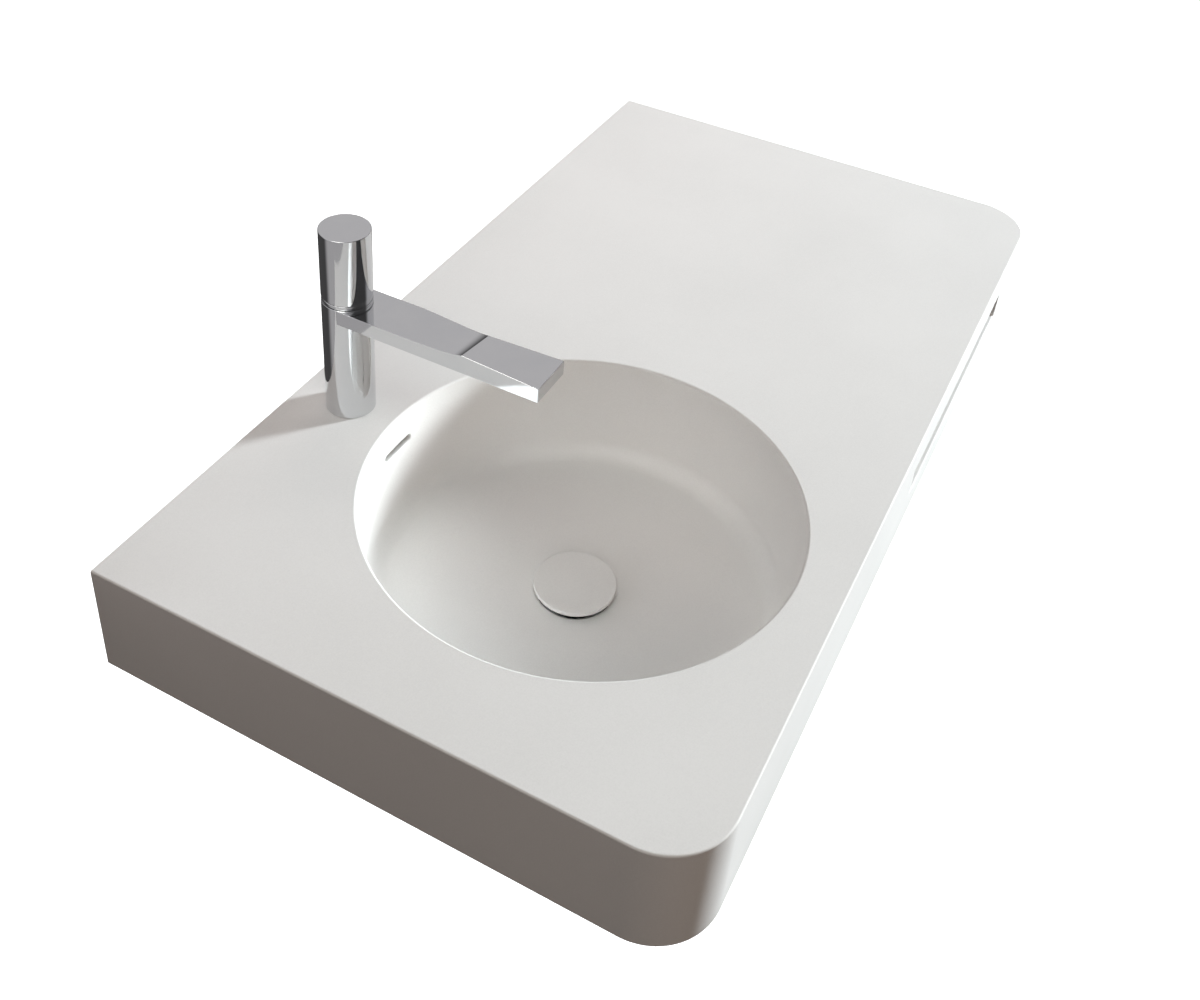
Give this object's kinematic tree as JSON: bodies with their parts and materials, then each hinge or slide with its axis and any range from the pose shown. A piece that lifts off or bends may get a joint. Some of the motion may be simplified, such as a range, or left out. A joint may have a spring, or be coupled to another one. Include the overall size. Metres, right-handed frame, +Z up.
{
  "type": "washbasin",
  "caption": "Wall-hung rectangular washbasin slab with a seamless round bowl, a towel slot in the front apron, a cylindrical deck tap with a flat spout, and a push waste.",
  "frame": {"origin": "on the wall plane, at mid length and at half the height of the slab", "axes": "+X to the right along the basin, -Y out of the wall to the front, +Z up"},
  "size_m": [0.9, 0.486, 0.3599],
  "materials": {
    "solid_white": "matt white acrylic stone",
    "chrome": "mirror",
    "brass": "turned",
    "steel": "zinc plated",
    "rubber": "matt black",
    "plastic": "moulded",
    "valve_ceramic": "polished"
  },
  "bodies": {
    "basin": {"deck": "solid_white", "bowl": "solid_white", "front_apron": "solid_white", "left_apron": "solid_white", "right_apron": "solid_white", "rear_rail": "solid_white", "overflow_duct": "solid_white", "tap_body": "chrome", "trim_ring": "chrome", "waste_body": "chrome", "waste_backnut": "chrome", "cartridge_nut": "brass", "hot_inlet": "brass", "cold_inlet": "brass", "wall_bracket_left": "steel", "wall_bracket_right": "steel", "tap_stud": "steel", "clamp_plate": "steel", "clamp_nut": "steel", "aerator_screen": "steel", "waste_seal_upper": "rubber", "waste_seal_lower": "rubber", "cartridge_seal": "rubber", "tap_gasket": "rubber", "clamp_rubber": "rubber", "plug_barrel": "plastic", "aerator_housing": "plastic", "cartridge_housing": "plastic", "disc_fixed": "valve_ceramic", "bracket_insert_left_rear": "brass", "bracket_screw_left_rear": "steel", "bracket_insert_left_front": "brass", "bracket_screw_left_front": "steel", "bracket_insert_right_rear": "brass", "bracket_screw_right_rear": "steel", "bracket_insert_right_front": "brass", "bracket_screw_right_front": "steel"},
    "handle": {"tap_handle": "chrome", "handle_grub_screw": "steel", "cartridge_stem": "brass", "disc_turning": "valve_ceramic"},
    "plug": {"plug_cap": "solid_white", "plug_carrier": "brass", "plug_seal": "rubber", "plug_stem": "brass"}
  },
  "joints": [
    {"name": "handle_turn", "type": "hinge", "parent": "basin", "child": "handle", "pos_m": [-0.196, -0.0486, 0.19], "axis": [0, 0, 1], "range_deg": [0, 100]},
    {"name": "plug_slide", "type": "slide", "parent": "basin", "child": "plug", "axis": [0, 0, 1], "range_m": [-0.0041, 0]}
  ]
}
